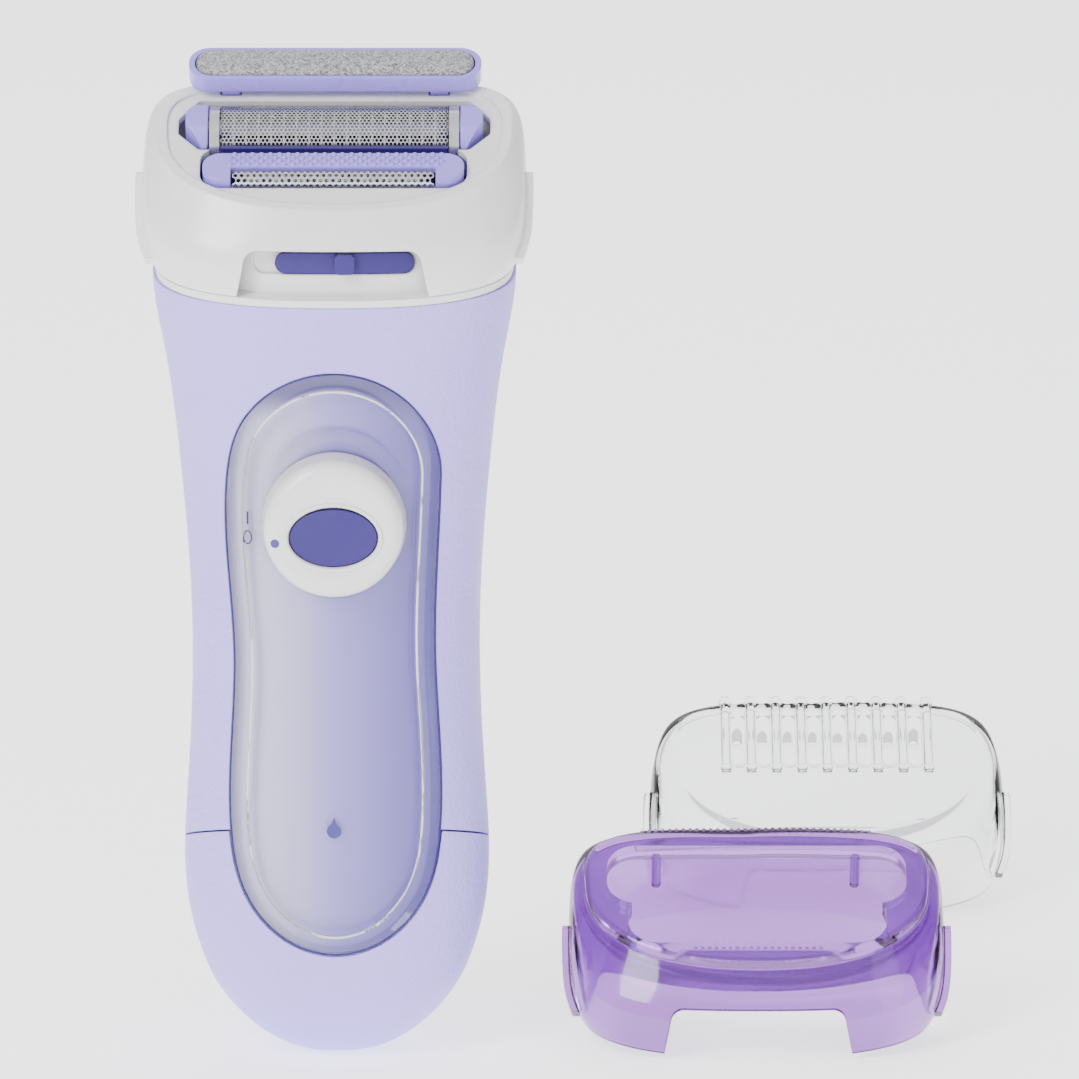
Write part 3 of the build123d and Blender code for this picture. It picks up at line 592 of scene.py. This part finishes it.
pad_low, pad_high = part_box("exfoliation_pad")
PAD_V, PAD_CROWN = 17.85, 0.95
PAD_HALF_LENGTH, PAD_HALF_WIDTH, PAD_CORNER = 22.7, 3.05, 2.9
PAD_LEVELS = [(2.06, 0.0), (3.8, 0.0), (4.2, 0.12), (4.55, 0.42)]  # n, inset
points, faces = cushion(rounded_outline(PAD_HALF_LENGTH, PAD_HALF_WIDTH, PAD_CORNER), PAD_V,
                        PAD_LEVELS, PAD_CROWN)
pad = make_piece("scrubbing_pad", points, faces, grit, "scrub_pad")
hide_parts("exfoliation_pad")
print("pad", round((pad_high.x - pad_low.x) * 1000, 1), "mm long")

# %% [markdown]
# Printed marks are thin ink: a dot on the knob, the on and off marks beside it, and the drop that
# says the shaver may get wet. Each is a flat outline laid just proud of its surface.

# %% Printed marks
ink = new_finish("dark_ink", (0.06, 0.04, 0.24), 0.5)
add_mottle(ink, (0.052, 0.034, 0.22), (0.07, 0.048, 0.26), 500)
add_skin(ink, 4000, 0.000003)
INWARD = Vector((0, 1, 0))
IN_FRONT = -0.06
INK = 0.03


def on_front(surface, x, z, lift=0.0):
    """Point of the surface met from the front at x, z in millimetres, lifted forwards."""
    found = surface.ray_cast(Vector((x * MM, IN_FRONT, z * MM)), INWARD)[0]
    return found - INWARD * lift * MM


def printed(name, outline, surface, body, ink_depth=INK):
    """Thin inked plate that follows the surface; outline is a list of (x, z)."""
    count = len(outline)
    points = [on_front(surface, x, z, lift) for lift in (-INK, ink_depth) for x, z in outline]
    middle_x = sum(x for x, z in outline) / count
    middle_z = sum(z for x, z in outline) / count
    points += [on_front(surface, middle_x, middle_z, lift) for lift in (-INK, ink_depth)]
    back, front = 2 * count, 2 * count + 1
    faces = []
    for k in range(count):
        after = (k + 1) % count
        faces += [(k, after, back), (after + count, k + count, front),
                  (after, k, k + count, after + count)]
    return make_piece(name, points, faces, ink, body, smooth=False)


def oval_outline(cx, cz, half_x, half_z, sides=28):
    turns = [2 * math.pi * k / sides for k in range(sides)]
    return [(cx + half_x * math.cos(t), cz + half_z * math.sin(t)) for t in turns]


def printed_ring(name, cx, cz, half_x, half_z, line, surface, body):
    """Inked oval line."""
    outer = oval_outline(cx, cz, half_x, half_z)
    hole = oval_outline(cx, cz, half_x - line, half_z - line)
    points, sides = [], len(outer)
    for outline, lift in ((outer, -INK), (outer, INK), (hole, INK), (hole, -INK)):
        points += [on_front(surface, x, z, lift) for x, z in outline]
    faces = []
    for ring in range(4):
        low, high = ring * sides, (ring + 1) % 4 * sides
        for k in range(sides):
            after = (k + 1) % sides
            faces.append((low + after, low + k, high + k, high + after))
    return make_piece(name, points, faces, ink, body, smooth=False)


def drop_outline(cx, cz, radius, height):
    """Round below, drawn out to a point above."""
    outline, steps = [], 24
    for k in range(steps + 1):
        angle = math.radians(-210 + 240 * k / steps)
        outline.append((cx + radius * math.cos(angle), cz + radius * math.sin(angle)))
    outline.append((cx + radius * 0.28, cz + height * 0.55))
    outline.append((cx, cz + height))
    outline.append((cx - radius * 0.28, cz + height * 0.55))
    return outline


ON_LEFT, ON_RIGHT, ON_LOW, ON_HIGH = -14.25, -13.95, 91.1, 93.2
DOT_DEPTH = 0.1  # thicker ink, because the knob is strongly curved there
panel_surface = surface_of("window_panel")
knob_surface = surface_of("switch_knob")
on_outline = [(ON_LEFT, ON_LOW), (ON_RIGHT, ON_LOW), (ON_RIGHT, ON_HIGH), (ON_LEFT, ON_HIGH)]
marks = [
    printed("knob_dot", oval_outline(-9.5, 89.4, 0.72, 0.72), knob_surface, "switch", DOT_DEPTH),
    printed("drop_mark", drop_outline(-0.2, 40.0, 1.2, 2.4), panel_surface, "handle"),
    printed("on_mark", on_outline, panel_surface, "handle"),
    printed_ring("off_mark", -14.1, 88.9, 0.75, 1.2, 0.24, panel_surface, "handle"),
]
print("marks:", [mark.name for mark in marks])

# %% [markdown]
# A fine dark purple line runs round the window, where a thin seal fills the joint. It is a small
# circle swept along the window's outer edge, and each point of the path is dropped onto the panel.
# The same path, drawn in by a few millimetres, carries a pale white bead inside the window: a painted
# highlight standing in for the bright rounded edge of the clear panel's inner face.

# %% Window seal and painted highlight bead
def tube(path, radius, sides=6):
    """Closed tube round a closed path."""
    points, faces, count = [], [], len(path)
    for i, centre in enumerate(path):
        along = (path[(i + 1) % count] - path[i - 1]).normalized()
        side = along.cross(INWARD).normalized()
        other = along.cross(side)
        for k in range(sides):
            turn = 2 * math.pi * k / sides
            points.append(centre + (side * math.cos(turn) + other * math.sin(turn)) * radius)
    for i in range(count):
        after = (i + 1) % count
        for k in range(sides):
            nxt = (k + 1) % sides
            faces.append((i * sides + k, i * sides + nxt, after * sides + nxt, after * sides + k))
    return points, faces


def edge_point(across, up, mid_z, inset, search=24):
    """Point of the panel inset from its edge, going from (0, mid_z) along (across, up), by halving."""
    on_panel, off_panel = 10.0, 24.0  # surely on the panel and surely past it
    for _ in range(search):
        middle = (on_panel + off_panel) / 2
        start = Vector((across * middle * MM, IN_FRONT, (mid_z + up * middle) * MM))
        if panel_surface.ray_cast(start, INWARD)[0] is None:
            off_panel = middle
        else:
            on_panel = middle
    reach = on_panel - inset
    return on_front(panel_surface, across * reach, mid_z + up * reach)


def window_edge(inset, round_steps=110, side_steps=60):
    """Closed path: half ring over the top, left side down, half ring under the foot, right side up."""
    low_z, high_z = window_low.z * 1000 + FOOT_RING, window_high.z * 1000 - TOP_RING
    path = []
    for start_angle, mid_z, side, next_z in ((0, high_z, -1, low_z), (math.pi, low_z, 1, high_z)):
        for i in range(round_steps + 1):
            turn = start_angle + math.pi * i / round_steps
            path.append(edge_point(math.cos(turn), math.sin(turn), mid_z, inset))
        for i in range(1, side_steps):
            path.append(edge_point(side, 0, mid_z + (next_z - mid_z) * i / side_steps, inset))
    return path


FOOT_RING, TOP_RING = 17, 17.4
SEAL_INSET, SEAL_RADIUS = 0.05, 0.16 * MM
HIGHLIGHT_BEAD_INSET, HIGHLIGHT_BEAD_RADIUS = 3.0, 0.2 * MM
seal_path = window_edge(SEAL_INSET)
points, faces = tube(seal_path, SEAL_RADIUS)
make_piece("window_seal_line", points, faces, purple, "handle")
# Painted highlight: the white bead stands for the light caught on the panel's rounded inner edge.
points, faces = tube(window_edge(HIGHLIGHT_BEAD_INSET), HIGHLIGHT_BEAD_RADIUS)
make_piece("window_highlight_bead", points, faces, white, "handle")
print("seal line of", len(seal_path), "points")

# %% [markdown]
# A soft bead runs round the oval button, so that the thumb finds it without looking. It is moulded
# with the knob, in the same white plastic.

# %% Bead round the button
BUTTON_Z, OVAL_HALF_X, OVAL_HALF_Z = 90.3, 7.75, 5.35
KNOB_BEAD_RADIUS = 0.38 * MM
button_oval = oval_outline(0, BUTTON_Z, OVAL_HALF_X, OVAL_HALF_Z, sides=72)
points, faces = tube([on_front(knob_surface, x, z) for x, z in button_oval], KNOB_BEAD_RADIUS, sides=10)
make_piece("knob_bead", points, faces, white, "switch")
print("bead", 2 * OVAL_HALF_X, "mm wide")

# %% [markdown]
# The gliding cap's ring has rows of fine dots so that it slides on damp skin, and the trimming cap
# ends each gap between its teeth in a small round bump. Both are domes again, set on the caps.

# %% Dots on the spare caps
GLIDE_PLACE, COMB_PLACE = (69.5, 8.0), (84.0, 104.0)
DOT_ROWS = ((16.6, 34), (15.7, 33), (-12.9, 20), (-12.1, 19))  # v, dots in the row
DOT_PITCH, DOT_RADIUS = 1.15, 0.36 * MM
BUMP_COUNT, BUMP_PITCH, BUMP_V = 9, 4.45, 0.4
BUMP_RADIUS, BUMP_HEIGHT = 0.95 * MM, 0.8 * MM
ABOVE_CAPS = 0.1


def row_of_domes(surface, cap_place, v, count, pitch, radius, height, rings, sides):
    """Domes across a standing cap's face, on points found by looking down on it."""
    domes = []
    for i in range(count):
        above = face_point((i - (count - 1) / 2) * pitch, v, 0)
        start = Vector((above.x + cap_place[0] * MM, above.y + cap_place[1] * MM, ABOVE_CAPS))
        spot = surface.ray_cast(start, Vector((0, 0, -1)))[0]
        domes.append(dome(spot - OUT_FACE * 0.1 * MM, OUT_FACE, radius, height, rings, sides))
    return domes


ring_surface, comb_surface = surface_of("gliding_cap"), surface_of("trimming_cap")
dots = []
for v, count in DOT_ROWS:
    dots += row_of_domes(ring_surface, GLIDE_PLACE, v, count, DOT_PITCH, DOT_RADIUS, DOT_RADIUS, 3, 8)
points, faces = gather(dots)
make_piece("gliding_cap_dots", points, faces, cap_purple, "glide_cap")
bumps = row_of_domes(comb_surface, COMB_PLACE, BUMP_V, BUMP_COUNT, BUMP_PITCH,
                     BUMP_RADIUS, BUMP_HEIGHT, 4, 14)
points, faces = gather(bumps)
make_piece("trimming_cap_bumps", points, faces, cap_clear, "comb_cap")
print("dots", len(dots), "bumps", len(bumps))

# %% [markdown]
# A plain pale floor, large enough to have no edge in the picture. It glows a little by its own, as
# lit paper does, so that it stays nearly white round the object.

# %% Floor
FLOOR_REACH = 3.0
floor_mesh = bpy.data.meshes.new("floor")
floor_corners = [(FLOOR_REACH * x, FLOOR_REACH * y, 0) for x, y in ((-1, -1), (1, -1), (1, 1), (-1, 1))]
floor_mesh.from_pydata(floor_corners, [], [(0, 1, 2, 3)])
floor = bpy.data.objects.new("floor", floor_mesh)
bpy.context.scene.collection.objects.link(floor)
paper = new_finish("pale_paper", (0.93, 0.93, 0.94), 0.8)
shader_of(paper).inputs["Emission Color"].default_value = (1, 1, 1, 1)
shader_of(paper).inputs["Emission Strength"].default_value = 1.5
floor_mesh.materials.append(paper)
print("floor", 2 * FLOOR_REACH, "m across")

# %% [markdown]
# Three large soft lights in a bright studio. The key light stands high at the left; the others only
# keep the shadows open. The studio is darker at its two sides, which draws dark edges on the clear
# caps and shades the white one.

# %% Studio and lights
world = bpy.data.worlds.new("studio")
bpy.context.scene.world = world
world.use_nodes = True
sky = world.node_tree
background = sky.nodes["Background"]
background.inputs["Color"].default_value = (0.985, 0.985, 1.0, 1)
direction = sky.nodes.new("ShaderNodeTexCoord")
parts_of = sky.nodes.new("ShaderNodeSeparateXYZ")
sideways = sky.nodes.new("ShaderNodeMath")
sideways.operation = "ABSOLUTE"
dimmer = sky.nodes.new("ShaderNodeMapRange")
for socket, value in (("From Min", 0.45), ("From Max", 0.85), ("To Min", 1.45), ("To Max", 0.15)):
    dimmer.inputs[socket].default_value = value
sky.links.new(direction.outputs["Generated"], parts_of.inputs["Vector"])
sky.links.new(parts_of.outputs["X"], sideways.inputs[0])
sky.links.new(sideways.outputs["Value"], dimmer.inputs["Value"])
sky.links.new(dimmer.outputs["Result"], background.inputs["Strength"])


def soft_light(name, place, target, size, power):
    lamp = bpy.data.lights.new(name, "AREA")
    lamp.shape = "RECTANGLE"
    lamp.size = size[0]
    lamp.size_y = size[1]
    lamp.energy = power
    holder = bpy.data.objects.new(name, lamp)
    holder.location = place
    holder.rotation_mode = "QUATERNION"
    holder.rotation_quaternion = (Vector(place) - Vector(target)).to_track_quat("Z", "Y")
    bpy.context.scene.collection.objects.link(holder)


soft_light("key", (-0.55, -0.7, 0.7), (0, 0, 0.1), (0.35, 0.6), 11.0)
soft_light("fill", (0.9, -0.7, 0.35), (0, 0, 0.08), (0.3, 0.8), 1.2)
soft_light("back", (0.1, 0.8, 0.9), (0, 0, 0.1), (0.9, 0.5), 3.0)
print("lights: key, fill, back")

# %% [markdown]
# The camera looks down a little from far away through a long lens, so that upright edges stay
# parallel. The lens is worked out from the width that the picture has to cover at that distance.

# %% Camera
SENSOR = 36
FRAME_WIDTH = 0.17696
DISTANCE = 1.6
TILT = math.radians(12)
aim = Vector((0.0334, 0, 0.0860))
camera_data = bpy.data.cameras.new("camera")
camera_data.sensor_width = SENSOR
camera_data.lens = SENSOR * DISTANCE / FRAME_WIDTH
camera = bpy.data.objects.new("camera", camera_data)
camera.location = aim + DISTANCE * Vector((0, -math.cos(TILT), math.sin(TILT)))
camera.rotation_mode = "QUATERNION"
camera.rotation_quaternion = (camera.location - aim).to_track_quat("Z", "Y")
bpy.context.scene.collection.objects.link(camera)
bpy.context.scene.camera = camera
print("lens", round(camera_data.lens), "mm at", DISTANCE, "m")
